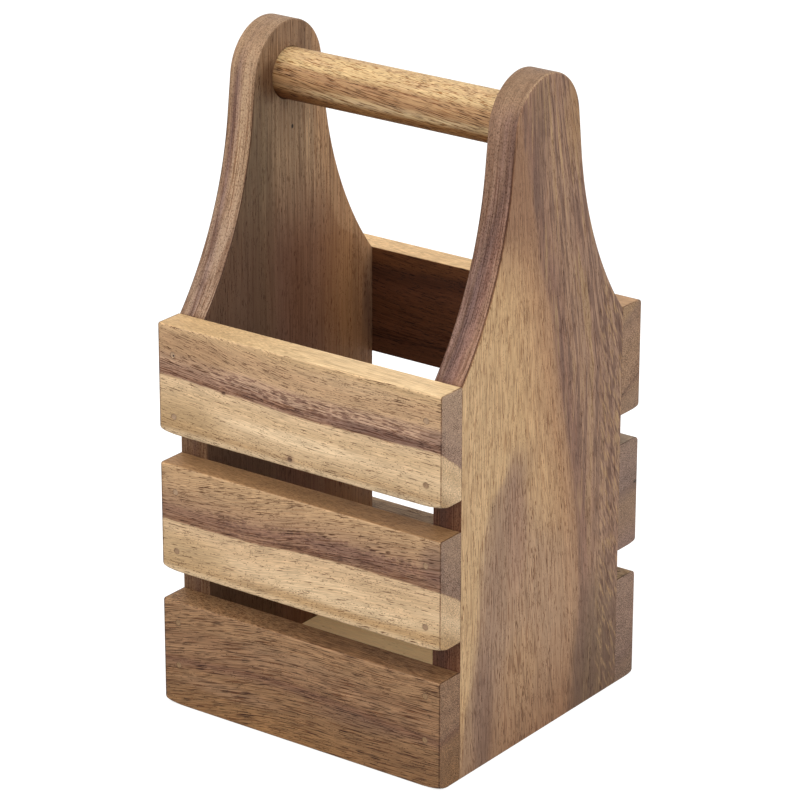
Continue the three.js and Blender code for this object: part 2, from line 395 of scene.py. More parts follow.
class Timber(Wiring):
    """The wiring of one board's wood, with the board's own place in millimetres."""

    def __init__(self, name, along, across, inward, seed, wander=5.0):
        """Along, across and inward each hold an axis, its zero in metres and its sense."""
        super().__init__(bpy.data.materials.new(name))
        here = self.node("ShaderNodeTexCoord")
        self.parts = self.node("ShaderNodeSeparateXYZ", Vector=here.outputs["Object"]).outputs
        self.facing = self.node("ShaderNodeSeparateXYZ", Vector=here.outputs["Normal"]).outputs
        self.u, self.v, self.d = (self.measure(*way) for way in (along, across, inward))
        self.ends = self.span(self.absolute(self.facing[along[0]]), 0.55, 0.9)
        self.seed = seed
        self.follow(self.v, wander)

    def measure(self, axis, zero, sense):
        return self.times(self.sub(self.parts[axis], zero), sense / MM)

    def follow(self, v, wander):
        """Lets the grain run along this line across the board, with a slow wander."""
        slow = self.noise(self.stretched(70, 16, v=v), detail=1)
        self.grain = self.add(v, self.times(self.sub(slow, 0.5), wander))

    def stretched(self, length, width, v=None, tilt=0.0, shift=0.0):
        """A place in the board, drawn out along the grain, for a pattern of this length and width."""
        across = self.grain if v is None else v
        if tilt:
            across = self.fit(self.u, -tilt, across)
        return self.vector(self.fit(self.u, 1 / length, self.seed + shift),
                           self.times(across, 1 / width), self.times(self.d, 1 / width))

    def swing(self, length, width, amount, detail=2.0, tilt=0.0, shift=0.0):
        """A pattern that swings about zero by roughly this amount."""
        wave = self.noise(self.stretched(length, width, tilt=tilt, shift=shift), detail=detail)
        return self.fit(wave, 4 * amount, -2 * amount)

    def pores(self, length, width, radius, amount=1.0, tilt=0.0, shift=0.0):
        """Pores cut lengthwise, as dashes, in this share of the cells of this length and width."""
        place = self.stretched(length, width, tilt=tilt, shift=shift)
        cell = self.node("ShaderNodeTexVoronoi", Vector=place, Scale=1.0)
        luck = self.node("ShaderNodeSeparateColor", Color=cell.outputs["Color"]).outputs
        size = self.fit(luck[0], 0.5 * radius, 0.5 * radius)
        spot = self.span(cell.outputs["Distance"], size, self.times(size, 0.55))
        return self.times(spot, self.math("LESS_THAN", luck[1], amount))

    def clumps(self, length, width, low=0.3, high=1.5, shift=5.0):
        """A slow pattern by which pores stand thicker in some places than in others."""
        return self.span(self.noise(self.stretched(length, width, shift=shift)), 0.36, 0.64, low, high)

    def along(self, reach, points):
        """A number that changes smoothly along the grain, from points at shares of this reach."""
        return self.curve(self.times(self.u, 1 / reach), points)

    def line(self, points, reach, height):
        """How far across the board a line lies that is drawn through points in millimetres."""
        return self.times(self.along(reach, [(a / reach, b / height) for a, b in points]), height)

    def stripe(self, offset, centre, half, soft):
        """1 near a line, fading out over a soft edge."""
        return self.span(self.absolute(self.sub(offset, centre)), half + soft, half)

    def spot(self, u, v, long, wide, core=0.4):
        """1 in the middle of an oval, fading out to its edge."""
        a = self.math("POWER", self.times(self.sub(self.u, u), 1 / long), 2.0)
        b = self.math("POWER", self.times(self.sub(self.v, v), 1 / wide), 2.0)
        return self.span(self.add(a, b), 1.0, core * core)

    def clouded(self, color, clouds):
        """Soft ovals of other tones: where each lies, its half length and width, tone and strength."""
        for u, v, long, wide, tint, strength in clouds:
            color = self.over(color, self.spot(u, v, long, wide, core=0.2), tint, strength)
        return color

    def lines(self, length, width, low=0.52, high=0.64, tilt=0.0, shift=0.0):
        """Thin dark lines drawn out along the grain."""
        wave = self.noise(self.stretched(length, width, tilt=tilt, shift=shift), roughness=0.6)
        return self.span(wave, low, high)

    def layers(self, length, width, low, high, shift=0.0):
        """Lines along the grain that stay whole where a sawn edge cuts the fibres at a slant."""
        place = self.vector(self.fit(self.u, 1 / length, self.seed + shift),
                            self.times(self.v, 0.11), self.times(self.d, 1 / width))
        return self.span(self.noise(place, detail=3, roughness=0.6), low, high)

    def oiled(self, color, pores, lines=None, streak=0.10, mottle=0.05, fibre=0.25, fibre_length=7,
              tilt=0.0, end_shade=0.86, pore_tint="#7a5a42", line_tint="#a08064", keep=1.0):
        """The finish that all the boards share: streaks, mottling, fibres, pores and a thin oil."""
        fibres = self.swing(fibre_length, 0.42, fibre, detail=3, tilt=tilt)
        fibres = self.times(fibres, keep)
        hairs = self.swing(0.35 * fibre_length, 0.3, 0.7 * fibre, detail=1, tilt=tilt, shift=13)
        hairs = self.times(hairs, keep)
        value = self.add(self.swing(80, 2.6, streak, tilt=tilt), 1.0)
        value = self.add(value, self.add(self.swing(14, 5, mottle, tilt=tilt), self.add(fibres, hairs)))
        value = self.times(value, self.span(self.ends, 0, 1, 1.0, end_shade))
        body = self.scaled(color, value)
        height = self.fit(pores, -1.0, self.times(fibres, 0.7))
        if lines is not None:
            body = self.tinted(body, lines, line_tint)
            height = self.fit(lines, -0.3, height)
        body = self.tinted(body, pores, pore_tint)
        roughness = self.fit(pores, 0.2, 0.55)
        return self.close(body, roughness, height, 0.08 * MM, 0.45, specular=0.2)


# Millimetres
SLAT_WIDE = 42.0
SLAT_LONG = 125.0
PANEL_WIDE = 100.0
PANEL_TALL = 249.1
BOARD_THICK = 12.0

# Height over which the bands of a figure are spread, half of it below the figure's line
SLAT_BANDS = 60.0
RIGHT_PANEL_BANDS = 110.0
LEFT_PANEL_BANDS = 120.0
EDGE_BANDS = 24.0

# Each slat's figure, in millimetres along the slat from its left end and up from its lower edge.
# The line is the lower border of its dark heart streak. The bands are tones by their height above
# that line, and dashes, specks and lines are how thick the pores and dark lines stand there. The
# sweep is how far the grain above the line bends up. The lean is how fast the line drops from the
# slat's face towards its back, and the tilt how the grain climbs along the slat. Patches hold a
# place, how far they reach along and across, a tone and its strength, knots a place and their
# reach, and pits a place, a depth from the face and their reach. Upper holds the upper face's
# tones at the left and right and where they change over. End holds the ends' tone and its
# strength, and rows the strength and length of the dashes that stand in the streak.
# On the front middle and bottom rows the upper tones are darker, as painted shade under the slat above.
SLAT_FIGURES = {
    "front_top": {
        "line": [(0, 22.9), (14, 22.5), (29, 21.9), (42, 21.4), (52, 20.5), (62, 20.1), (83, 20.3),
                 (125, 20.7)],
        "bands": [(-22, "#b29068"), (-18, "#b3926b"), (-15, "#caab84"), (-10, "#dabb94"),
                  (-5, "#cfaf87"), (-0.4, "#d5b690"), (0.2, "#a07d66"), (1.6, "#a8846c"),
                  (4.5, "#bf9c82"), (8, "#be9b7e"), (10, "#be9b77"), (15, "#bb9773"), (21, "#c7a67c"),
                  (23.5, "#dcbb90")],
        "dashes": [(-22, 0.3), (-10, 0.2), (-1, 0.25), (0.3, 0.8), (5, 1.0), (8, 0.6), (21, 0.7)],
        "specks": [(-22, 1.0), (-16, 0.9), (-11, 0.4), (-2, 0.4), (1, 0.2), (9, 0.4), (21, 0.6)],
        "lines": [(-22, 0.2), (-2, 0.1), (-0.5, 0.8), (2.5, 1.0), (7, 0.7), (10, 0.3), (21, 0.3)],
        "sweep": [(0, 3.5), (20, 1.5), (40, -2), (70, -3), (125, -2)],
        "lean": 0.77, "tilt": -0.03, "seed": 3.1,
        "patches": [(62, 11, 42, 3.2, "#e6c9a2", 0.75), (14, 33, 26, 9, "#9a7757", 0.55),
                    (8, 9, 26, 9, "#a8885f", 0.65), (86, 37, 30, 4, "#c9a883", 0.6),
                    (98, 22.6, 36, 2.6, "#775a50", 0.75), (40, 25, 16, 3, "#8a6a5a", 0.4),
                    (6, 26, 24, 3, "#916f5b", 0.6), (123, 26, 9, 4, "#7d5f52", 0.6)],
        "knots": [(59.2, 3.3, 1.4, 1.3), (29.6, 21.5, 1.2, 0.6)],
        "upper": ("#b69569", "#d0b388", 5, 80), "end": ("#a48976", 0.8), "rows": (0.85, 3.4),
    },
    "front_middle": {
        "line": [(0, 20.1), (20, 20.2), (46, 21.1), (62, 22.8), (76, 23.4), (89, 23.7), (125, 23.4)],
        "bands": [(-22, "#be996c"), (-17, "#b7966e"), (-14, "#d0af87"), (-10, "#dcbd96"),
                  (-6, "#d1b089"), (-0.4, "#d0b08a"), (0.2, "#947056"), (2, "#9a765d"), (5, "#906c56"),
                  (8, "#a68365"), (11, "#ab8867"), (15, "#b89570"), (21, "#be9a72")],
        "dashes": [(-22, 0.3), (-10, 0.2), (-1, 0.4), (0.3, 0.7), (6, 1.0), (11, 0.8), (21, 0.6)],
        "specks": [(-22, 1.0), (-16, 1.0), (-11, 0.3), (-6, 0.6), (-2, 0.6), (1, 0.2), (9, 0.4),
                   (21, 0.4)],
        "lines": [(-22, 0.2), (-2, 0.1), (-0.5, 0.6), (3, 1.0), (8, 0.7), (12, 0.5), (21, 0.4)],
        "sweep": [(0, -3), (40, -1), (80, 1.5), (125, 3)],
        "lean": 0.62, "tilt": 0.08, "seed": 7.7,
        "patches": [(84, 28, 26, 4.5, "#6e5249", 0.35), (123, 33, 9, 11, "#6a4e47", 0.55),
                    (84, 8, 54, 3.6, "#e3c69f", 0.7), (104, 16, 24, 5, "#c3a37c", 0.5),
                    (10, 9, 28, 9, "#a8885f", 0.6)],
        "upper": ("#a47d55", "#8e6945", 5, 80), "end": ("#947a68", 0.8), "rows": (0.7, 1.9),
    },
    "front_bottom": {
        "line": [(0, 18.4), (20, 20.5), (47, 22.5), (62, 22.4), (85, 21.0), (105, 20.0), (125, 19.0)],
        "bands": [(-22, "#926a42"), (-16, "#8d6844"), (-10, "#886545"), (-4, "#926e4d"),
                  (-1, "#836048"), (0.2, "#7e5a43"), (2, "#896649"), (5, "#9a7656"), (10, "#896649"),
                  (14, "#9c7856"), (21, "#997554")],
        "dashes": [(-22, 0.9), (0, 1.0), (21, 0.9)],
        "specks": [(-22, 0.4), (0, 0.3), (21, 0.4)],
        "lines": [(-22, 0.9), (0, 1.0), (21, 0.9)],
        "sweep": [(0, 0), (125, 0)],
        "lean": -0.2, "tilt": 0.10, "seed": 12.4,
        "patches": [(106, 6, 32, 10, "#7c5a3d", 0.6), (30, 12, 30, 4, "#9a785c", 0.45),
                    (88, 17, 30, 4, "#6b4f3f", 0.5), (60, 33, 40, 4, "#a08061", 0.4)],
        "upper": ("#9b7753", "#856243", 5, 80), "end": ("#9b7c64", 0.5), "rows": (0.15, 3.0),
    },
    "rear_top": {
        "line": [(0, 12), (30, 13), (60, 15), (95, 14.5), (125, 13.7)],
        "bands": [(-22, "#957a66"), (-3, "#96785f"), (-0.9, "#8f705a"), (0, "#6d5140"),
                  (0.9, "#8f715a"), (5, "#9a7a5f"), (14, "#967659"), (20, "#9a7a62"), (24, "#80634f"),
                  (27, "#7d6250"), (30, "#a3835f")],
        "dashes": [(-22, 0.4), (-2, 0.4), (0.5, 0.9), (6, 0.8), (30, 0.6)],
        "specks": [(-22, 0.6), (0, 0.3), (30, 0.4)],
        "lines": [(-22, 0.2), (-1, 0.3), (1, 1.0), (8, 0.6), (30, 0.3)],
        "sweep": [(0, 2), (60, -1), (125, 1)],
        "lean": 0.48, "tilt": -0.08, "seed": 21.9,
        "patches": [(60, 30, 50, 8, "#8b6a52", 0.5)],
        "knots": [(88, 22, 1.8, 1.2)],
        "upper": ("#dfb987", "#b28c68", 80, 112), "end": ("#b18f73", 0.4), "rows": (0.3, 3.0),
    },
    "rear_middle": {
        "line": [(0, 28), (40, 26), (80, 24.5), (125, 24.5)],
        "bands": [(-22, "#8f7365"), (-14, "#957761"), (-6, "#957860"), (0, "#846a5c"), (4, "#7a6357"),
                  (8, "#876c5d"), (16, "#90755f")],
        "dashes": [(-22, 0.4), (-2, 0.5), (0.5, 0.9), (6, 0.8), (30, 0.6)],
        "specks": [(-22, 0.6), (0, 0.3), (30, 0.4)],
        "lines": [(-22, 0.3), (-1, 0.3), (1, 1.0), (8, 0.6), (30, 0.4)],
        "sweep": [(0, -1), (60, 1), (125, -1)],
        "lean": 0.1, "tilt": 0.06, "seed": 30.3,
        "patches": [(40, 10, 40, 4, "#b39473", 0.5)],
        "pits": [(125, 24.7, 1.3, 0.8)],
        "upper": ("#b9a48c", "#ab937a", 80, 112), "end": ("#a18778", 0.5), "rows": (0.3, 3.0),
    },
    "rear_bottom": {
        "line": [(0, 14), (50, 17), (90, 16), (125, 13)],
        "bands": [(-18, "#8a715c"), (-6, "#8a6e5a"), (0, "#84695a"), (5, "#8c705d"), (14, "#917462"),
                  (26, "#987b66")],
        "dashes": [(-22, 0.8), (0, 1.0), (30, 0.8)],
        "specks": [(-22, 0.4), (0, 0.3), (30, 0.4)],
        "lines": [(-22, 0.6), (0, 1.0), (30, 0.6)],
        "sweep": [(0, 1), (60, 0), (125, 2)],
        "lean": 0.3, "tilt": -0.05, "seed": 41.2,
        "patches": [(95, 30, 30, 5, "#a38265", 0.45)],
        "upper": ("#b3926c", "#a08058", 80, 112), "end": ("#a08371", 0.5), "rows": (0.2, 3.0),
    },
}

# How thick the pores stand on each row's upper faces
UPPER_FACE_PORES = {"top": 0.15, "middle": 0.45, "bottom": 0.85}


def slat_wood(side, row):
    """One slat's wood: a dark heart streak, pale sapwood and dashes of pores."""
    low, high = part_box(f"{side}_slat_{row}")
    front = side == "front"
    bottom = row == "bottom"
    figure = SLAT_FIGURES[f"{side}_{row}"]
    inward = (1, low.y, 1) if front else (1, high.y, -1)
    w = Timber(f"{side} {row} slat acacia", (0, low.x, 1), (2, low.z, 1), inward, figure["seed"],
               wander=2.2)
    tilt = figure["tilt"]
    line = w.line(figure["line"], SLAT_LONG, SLAT_WIDE)
    above = w.fit(w.d, figure["lean"], w.sub(w.grain, line))
    height = w.add(above, w.swing(7, 2.0, 0.35, detail=3, tilt=tilt))
    color = w.by_height(w.ramp, height, SLAT_BANDS, figure["bands"])
    on_face = w.span(w.d, 3, 1)
    for u, v, long, wide, tint, strength in figure["patches"]:
        color = w.over(color, w.times(w.spot(u, v, long, wide, core=0.1), on_face), tint, strength)
    for u, v, long, wide in figure.get("knots", ()):
        color = w.over(color, w.spot(u, v, 2 * long, 2 * wide), "#8a6650", 0.45)
        color = w.over(color, w.spot(u, v, long, wide), "#4a2f22", 0.85)
    for place in nail_places(side=side, row=row):
        nail = (nail_seat(place)[2].translation - low) / MM
        color = w.over(color, w.spot(nail.x, nail.z, 1.9, 1.6, core=0.5), "#8a6a52", 0.3)
    for u, v, d, size in figure.get("pits", ()):
        color = w.over(color, w.times(w.spot(u, v, size, size), w.stripe(w.d, d, size, 0.3)), "#1c120c")
    end_tone, end_share = figure["end"]
    color = w.over(color, w.times(w.ends, w.span(above, -0.3, 0.6, 0.0, end_share)), end_tone)

    # Upper face, painted shade on the inner face at the rear, a painted highlight on the lower edge at
    # the front, and the worn rims of both ends
    upward = w.span(w.facing[2], 0.6, 0.9)
    # On the front middle and bottom rows these tones hold painted shade from the slat above.
    left_tone, right_tone, turn_from, turn_to = figure["upper"]
    upper = w.mix(w.span(w.u, turn_from, turn_to), paint(left_tone), paint(right_tone))
    color = w.mix(w.times(upward, 0.85), color, upper)
    if not front:
        # Painted shade on the rear slats' inner faces, which face into the box.
        color = w.tinted(color, w.span(w.facing[1], -0.6, -0.9), "#a2806f")
    elif not bottom:
        # Painted highlight along the lower edge of the two upper front slats, for light thrown up from
        # the floor.
        color = w.over(color, w.times(w.span(w.v, 3.5, 1.2), w.span(w.ends, 1, 0, 0, 0.4)), "#ecd4b0")
    middle = SLAT_LONG / 2
    worn = w.span(w.absolute(w.sub(w.u, middle)), middle - 0.75, middle - 0.3)
    worn = w.times(worn, w.span(w.noise(w.stretched(3, 3, shift=2)), 0.3, 0.6, 0.4, 0.9))
    color = w.tinted(color, w.times(worn, w.span(w.ends, 1.0, 0.0)), "#7d6455")

    # From here on the grain follows the streak, and sweeps off it higher up.
    sweep = w.along(SLAT_LONG, [(u / SLAT_LONG, 0.5 + v / 20) for u, v in figure["sweep"]])
    bend = w.times(w.fit(sweep, 20.0, -10.0), w.span(above, 3, 14))
    w.follow(w.sub(w.sub(w.v, line), bend), 2.2)
    dashes, specks, thick = (w.by_height(w.curve, height, SLAT_BANDS, figure[name])
                             for name in ("dashes", "specks", "lines"))
    dashes = w.times(dashes, w.clumps(15, 4))
    specks = w.times(specks, w.clumps(26, 1.2, shift=8))
    longer = 1.6 if bottom else 1.0
    pores = w.most(w.pores(4.5 * longer, 0.36, 0.46, dashes, tilt=tilt),
                   w.pores(10 * longer, 0.42, 0.4, w.times(dashes, 0.7 * longer), tilt=tilt, shift=9))
    pores = w.most(pores, w.times(w.pores(1.2, 0.38, 0.45, specks, tilt=tilt, shift=4), 0.75))
    pores = w.times(pores, w.span(upward, 0, 1, 1.0, UPPER_FACE_PORES[row]))
    row_share, row_length = figure["rows"]
    rows = w.pores(row_length, 1.0, 0.8, 0.85, tilt=-0.05, shift=17)
    rows = w.times(rows, w.stripe(above, 4.6, 3.0, 1.6))
    rows = w.times(rows, w.times(w.span(w.absolute(w.sub(w.u, 70)), 56, 40), row_share))
    color = w.over(color, w.times(rows, on_face), "#7d5b4b")
    streaks = w.times(w.lines(34, 0.5, 0.46, 0.58, shift=21), w.stripe(above, 1.6, 1.5, 1.2))
    color = w.tinted(color, w.times(streaks, w.times(on_face, thick)), "#b29888", row_share)
    speckle = w.vector(w.times(w.v, 1.6), w.times(w.d, 1.6), 3.0)
    speckle = w.span(w.noise(speckle), 0.36, 0.64, -0.14, 0.14)
    color = w.scaled(color, w.fit(speckle, w.ends, 1.0))
    lines = w.times(w.lines(16, 0.38, tilt=tilt), thick)
    fibre, pore_tint = (0.36, "#5f4230") if bottom else (0.28, "#705240")
    return w.oiled(color, pores, lines, streak=0.07, mottle=0.07, fibre=fibre, fibre_length=12,
                   tilt=tilt, end_shade=1.0, pore_tint=pore_tint)


def panel_wood(end):
    """An end panel's wood, with upright grain, one figure on each face and layers on its edge."""
    right = end == "right"
    low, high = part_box(f"{end}_end_panel")
    outer = (0, high.x, -1) if right else (0, low.x, 1)
    seed = 55.5 if right else 63.2
    w = Timber(f"{end} panel acacia", (2, low.z, 1), (1, low.y, 1), outer, seed, wander=4)
    sideways = w.absolute(w.facing[0])
    flat = w.span(sideways, 0.35, 0.8)
    outward = w.span(w.times(w.facing[0], 1 if right else -1), -0.1, 0.1)
    if right:
        outer_face, grain_line = right_outer_figure(w)
        inner_face = right_inner_figure(w)
        edge = right_edge_figure(w)
    else:
        outer_face, grain_line = left_outer_figure(w)
        inner_face = left_inner_figure(w)
        edge = left_edge_figure(w)
    # Painted shade on the edges below the rim, where they stand back behind the slats.
    edge = w.tinted(edge, w.span(w.u, 150, 147), "#d4c0ae" if right else "#d2c2ae")
    speckle = w.noise(w.vector(w.times(w.u, 1.5), w.times(w.v, 1.5), w.times(w.d, 1.5)))
    edge = w.scaled(edge, w.span(speckle, 0.36, 0.64, 0.87, 1.13))
    color = w.mix(flat, edge, w.mix(outward, inner_face, outer_face))
    # Painted dark reflection: a dark line along both rounded arrises, fading out towards the crown.
    arris = w.times(w.stripe(sideways, 0.55, 0.2, 0.25), w.span(w.u, 240, 218, 0.1, 0.9))
    color = w.tinted(color, arris, "#8f7565")
    # Painted highlight along the outer arris at the top of the crown.
    crown_highlight = w.times(w.stripe(sideways, 0.5, 0.25, 0.2), w.span(w.u, 239, 246, 0.0, 0.4))
    color = w.over(color, w.times(crown_highlight, outward), "#c8aa86")

    # From here on the grain follows the figure of the face.
    w.follow(grain_line, 4)
    on_face = w.span(flat, 0, 1, 0.3, 1.0)
    on_edge = w.sub(1.0, flat)
    dashes = w.times(w.clumps(45, 6, 0.1, 0.8), on_face)
    pores = w.most(w.pores(3.6, 0.36, 0.42, dashes),
                   w.pores(9, 0.4, 0.34, w.times(dashes, 0.6), shift=9))
    fine = w.pores(1.2, 0.32, 0.4, w.clumps(30, 2, 0.1, 0.8, shift=8), shift=4)
    fine = w.times(fine, w.times(on_face, 0.7))
    dots = w.times(w.times(w.pores(1.1, 0.6, 0.55, 0.9, shift=15), on_edge), 0.55)
    pores = w.most(pores, w.most(fine, dots))
    hairs = w.lines(11 if right else 26, 0.42, 0.5, 0.64)
    lines = w.most(hairs, w.times(w.lines(60, 1.3, 0.5, 0.68, shift=6), 0.35 if right else 0.5))
    layers = w.most(w.layers(35, 0.5, 0.48, 0.62), w.times(w.layers(50, 1.4, 0.45, 0.65, shift=3), 0.7))
    layers = w.times(layers, w.times(on_edge, w.span(w.u, 240, 210, 0.4, 0.9)))

    # Low down inside, the lines and fibres are fainter.
    calm = w.fit(w.times(w.sub(1.0, outward), w.span(w.u, 200, 150)), -0.45, 1.0)
    lines = w.add(w.times(lines, w.times(w.times(flat, 0.8), calm)), layers)
    keep = w.times(calm, w.span(flat, 0, 1, 0.4, 1.0))
    return w.oiled(color, pores, lines, streak=0.08, mottle=0.05, fibre=0.2, fibre_length=20,
                   pore_tint="#8f7158", line_tint="#ae9480", keep=keep)


def right_outer_figure(w):
    """Pale wood at the front, brown heart behind a slanting border, and a broad wedge low down."""
    border = [(0, 70), (20, 73), (40, 75), (60, 74), (88, 71.4), (100, 69), (112, 66), (125, 62.5),
              (137, 60), (150, 56.5), (168, 52), (180, 48), (193, 45), (205, 42), (218, 38.5),
              (234, 34.5), (249, 31)]
    slant = w.add(w.sub(w.grain, w.line(border, PANEL_TALL, PANEL_WIDE)), w.swing(60, 7, 1.2, detail=3))
    color = w.by_height(w.ramp, slant, RIGHT_PANEL_BANDS, [
        (-50, "#d3b085"), (-26, "#cfaa7e"), (-15, "#c8a178"), (-8, "#bd946e"), (-2, "#ae8868"),
        (0.5, "#96735e"), (4, "#926f5c"), (9, "#a58269"), (16, "#ab896f"), (23, "#9e7c66"),
        (30, "#a4836c"), (45, "#a8876f")])
    color = w.clouded(color, [(238, 46, 14, 9, "#7f644c", 0.45)])
    color = w.over(color, w.times(w.span(w.u, 172, 204), w.span(slant, 4, -4)), "#9c765a")
    color = w.over(color, w.times(w.span(w.u, 205, 230), w.span(w.v, 56, 68)), "#a7835f")
    middle = w.along(PANEL_TALL, [(0, 0.40), (0.27, 0.40), (0.33, 0.34), (0.40, 0.315), (1, 0.31)])
    half = w.along(PANEL_TALL, [(0, 0.32), (0.27, 0.28), (0.33, 0.18), (0.40, 0.09), (0.475, 0.0),
                                (0.5, 0), (1, 0)])
    away = w.absolute(w.sub(w.times(w.grain, 1 / PANEL_WIDE), middle))
    soft = w.span(w.v, 30, 46, 0.06, 0.17)
    wedge = w.span(w.math("DIVIDE", w.add(w.sub(away, half), 0.02), soft), 1, -1)
    color = w.over(color, w.times(wedge, w.span(w.u, 126, 110)), "#b08e72", 0.85)
    color = w.clouded(color, [(86, 34, 34, 8, "#a5806c", 0.45), (20, 14, 36, 8, "#81604c", 0.85),
                              (2, 88, 62, 24, "#6f5c49", 0.7)])
    # Painted shade, partly the wood's own tone: the face darkens towards its foot.
    color = w.tinted(color, w.span(w.u, 44, 0), "#dccfc2")
    mauve_edge = w.along(PANEL_TALL, [(0, 0.0), (0.08, 0.025), (0.15, 0.075), (0.25, 0.11),
                                      (0.35, 0.135), (0.40, 0.18), (0.45, 0.27), (1, 0.3)])
    inside = w.add(w.sub(w.grain, w.times(mauve_edge, PANEL_WIDE)), w.swing(55, 1.3, 1.3, detail=3))
    mauve = w.times(w.times(w.span(inside, -2.5, 3), w.span(inside, 27, 7)), w.span(w.u, 122, 102))
    color = w.over(color, mauve, "#967966", 0.6)
    color = w.clouded(color, [(30, 38, 20, 15, "#b48e69", 0.6)])

    # The heart wood's lines fan out from the crown.
    fall = w.math("MINIMUM", w.sub(PANEL_TALL, w.u), 115.0)
    fan = w.sub(w.v, w.fit(fall, 0.05, 42.0))
    fan = w.math("DIVIDE", fan, w.fit(fall, 0.011, 1.0))
    lines = w.vector(w.times(w.u, 1 / 60), w.times(fan, 1 / 1.9), 7.0)
    lines = w.noise(lines, detail=3, roughness=0.75)
    heart = w.times(w.span(slant, -0.6, 0.8), w.span(w.u, 40, 140, 0.4, 1.0))
    color = w.over(color, w.times(heart, w.span(lines, 0.51, 0.57, 0.0, 0.75)), "#745749")
    color = w.over(color, w.times(heart, w.span(lines, 0.46, 0.4, 0.0, 0.65)), "#ae8e68")
    color = w.clouded(color, [(214, 44.5, 26, 5, "#745a4d", 0.4)])

    # Short slanting strokes stand along the rear edge.
    strip = w.times(w.span(w.v, 84, 89), w.span(w.u, 0, 30, 0.5, 1.0))
    strokes = w.times(w.fit(w.u, 0.45, w.v), 1 / 1.3)
    strokes = w.noise(w.vector(w.times(w.u, 1 / 7), strokes, 4.0))
    color = w.over(color, w.times(strip, w.span(strokes, 0.47, 0.36, 0.0, 0.6)), "#b8956b")
    color = w.over(color, w.times(strip, w.span(strokes, 0.5, 0.62, 0.0, 0.8)), "#765746")

    # The grain leans as the border does, but not along the front edge.
    drift = w.along(PANEL_TALL, [(0, 0.78), (0.5, 0.64), (1, 0.39)])
    lean = w.times(w.sub(drift, 0.64), w.span(w.v, 15, 65, 0.0, PANEL_WIDE))
    return color, w.sub(w.v, lean)


def left_outer_figure(w):
    """Tan wood with a dark heart streak up the middle."""
    border = [(0, 62), (70, 58), (140, 47), (200, 44), (248, 42)]
    slant = w.add(w.sub(w.grain, w.line(border, PANEL_TALL, PANEL_WIDE)), w.swing(50, 9, 2.0))
    color = w.by_height(w.ramp, slant, LEFT_PANEL_BANDS, [
        (-55, "#a98869"), (-30, "#b99876"), (-10, "#ad8c6c"), (-1, "#93735e"), (1, "#7c5f52"),
        (6, "#8c6d5d"), (16, "#9c7c66"), (26, "#8a6b5b"), (40, "#b0906f"), (55, "#b99877")])
    return color, w.v


def left_inner_figure(w):
    """Grey-tan above, reddish brown low down, darker there in part as painted shade, and a pale strip
    along the rear of the flare.
    """
    share = w.times(w.add(w.v, w.swing(120, 6, 2.0)), 1 / PANEL_WIDE)
    above = w.ramp(share, [(0.25, "#79634b"), (0.35, "#846d52"), (0.45, "#a98b6b"), (0.55, "#b79775"),
                           (0.65, "#cda982"), (0.75, "#c29c74")])
    above = w.over(above, w.span(w.u, 218, 236), "#94765a")
    # Low down inside the box the tones are darker, partly as painted shade.
    below = w.ramp(share, [(0.25, "#6f5543"), (0.35, "#755a45"), (0.45, "#7f5d4a"), (0.55, "#835d46"),
                           (0.65, "#8f684f"), (0.75, "#a27552"), (0.85, "#b08259"), (0.95, "#ac815d")])
    color = w.mix(w.span(w.u, 158, 206), below, above)
    strip = w.along(PANEL_TALL, [(0, 1), (0.61, 0.93), (0.66, 0.79), (0.75, 0.71), (0.85, 0.65),
                                 (1, 0.63)])
    behind = w.sub(w.v, w.times(strip, PANEL_WIDE))
    color = w.over(color, w.span(behind, -1.5, 1.5), "#c99f76", 0.6)
    streaks = w.span(w.noise(w.stretched(150, 1.3, shift=3), detail=3), 0.45, 0.62)
    color = w.over(color, w.times(streaks, w.span(w.u, 150, 200, 0.12, 0.3)), "#5f4636")
    color = w.clouded(color, [(128, 100, 26, 8, "#5c463e", 0.6)])
    # Painted shadow of the handle, on the inner face beside its socket.
    color = w.tinted(color, w.spot(228.5, 38.5, 10, 7, core=0.2), "#a48c7a", 0.8)
    return w.over(color, w.spot(208.9, 51.7, 1.1, 0.8), "#150c07", 0.95)


def right_inner_figure(w):
    """Broad, soft streaks."""
    streaks = w.span(w.noise(w.stretched(160, 5, shift=7), detail=3), 0.35, 0.66)
    return w.mix(streaks, paint("#a88868"), paint("#7d6150"))


def edge_bands(w, streak, wobble, bands):
    """Layers on a sawn edge, by how far they lie inwards of a streak."""
    inward = w.sub(w.d, w.times(w.along(PANEL_TALL, streak), BOARD_THICK))
    return w.by_height(w.ramp, w.add(inward, w.swing(60, 3, wobble)), EDGE_BANDS, bands)


def right_edge_figure(w):
    """Layers on the sawn edge: a dark streak that works its way inwards, and tan wood at the crown."""
    streak = [(0, 0.66), (0.72, 0.62), (0.78, 0.52), (0.83, 0.34), (0.88, 0.18), (0.94, 0.1), (1, 0.1)]
    color = edge_bands(w, streak, 0.5, [
        (-9, "#98745e"), (-5.5, "#93705b"), (-3.4, "#8b685a"), (-1.4, "#775a50"), (0, "#6b5049"),
        (1.4, "#765a4c"), (3, "#84665a"), (5, "#8c6e5b"), (9, "#8c6d58")])
    color = w.over(color, w.span(w.u, 180, 220, 0, 0.35), "#8c6b54")
    return w.over(color, w.span(w.u, 234, 244, 0.0, 0.9), "#8f7156")


def left_edge_figure(w):
    """Tan layers with one thin dark line, greyer towards the shoulder."""
    streak = [(0, 0.5), (0.6, 0.46), (0.75, 0.26), (0.88, 0.3), (1, 0.5)]
    color = edge_bands(w, streak, 0.4, [
        (-6, "#a08367"), (-2.5, "#9f8164"), (-0.8, "#8e6f5c"), (0, "#7f6257"), (1, "#977864"),
        (3, "#b19273"), (5.5, "#ae8f71"), (9, "#977a5e")])
    color = w.over(color, w.span(w.u, 205, 165, 0, 0.5), "#8f7768")
    return w.over(color, w.span(w.u, 228, 244, 0, 0.85), "#9b7d60")


